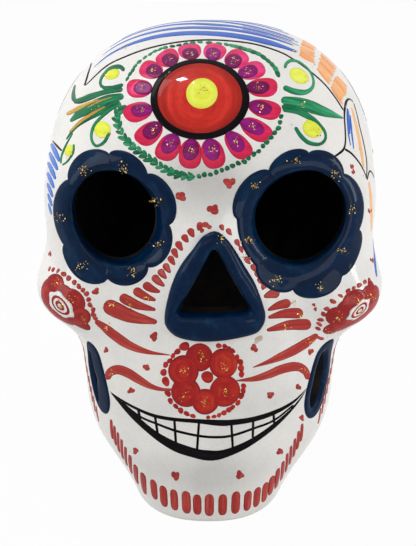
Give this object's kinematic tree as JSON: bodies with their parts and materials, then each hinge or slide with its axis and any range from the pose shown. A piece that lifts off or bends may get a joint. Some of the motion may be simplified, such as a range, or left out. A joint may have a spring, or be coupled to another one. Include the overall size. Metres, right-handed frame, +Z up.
{
  "type": "sugar skull",
  "caption": "Hollow ceramic skull with an open base, painted with flowers, leaves and a toothed smile; blue collars line its eye, nose and jaw openings.",
  "frame": {"origin": "middle of the skull's length and width, on the table it stands on", "axes": "+Z up, the face looks along -Y, +X is the skull's right as the viewer sees the face"},
  "size_m": [0.1322, 0.1664, 0.1735],
  "materials": {
    "glazed_clay": "white glazed ceramic under clear lacquer",
    "navy_enamel": "high-gloss dark blue enamel",
    "red_enamel": "glossy red enamel",
    "pink_enamel": "glossy pink enamel",
    "yellow_enamel": "glossy yellow enamel",
    "green_enamel": "glossy green enamel",
    "black_enamel": "glossy black enamel"
  },
  "bodies": {
    "root": {"face_casting": "glazed_clay", "cranium_casting": "glazed_clay", "left_eye_collar": "navy_enamel", "right_eye_collar": "navy_enamel", "nose_collar": "navy_enamel", "left_jaw_collar": "navy_enamel", "right_jaw_collar": "navy_enamel", "rosette_centre": "yellow_enamel", "rosette_disc": "red_enamel", "rosette_ring": "black_enamel", "rosette_petals": "pink_enamel", "left_leaf": "green_enamel", "left_upper_tendril": "green_enamel", "left_upper_bud": "yellow_enamel", "left_lower_tendril": "green_enamel", "left_lower_bud": "yellow_enamel", "right_leaf": "green_enamel", "right_upper_tendril": "green_enamel", "right_upper_bud": "yellow_enamel", "right_lower_tendril": "green_enamel", "right_lower_bud": "yellow_enamel", "lip_flower": "red_enamel", "lip_flower_dot": "red_enamel", "left_cheek_flower": "red_enamel", "left_cheek_flower_dot": "red_enamel", "right_cheek_flower": "red_enamel", "right_cheek_flower_dot": "red_enamel", "mouth": "black_enamel"}
  },
  "joints": []
}
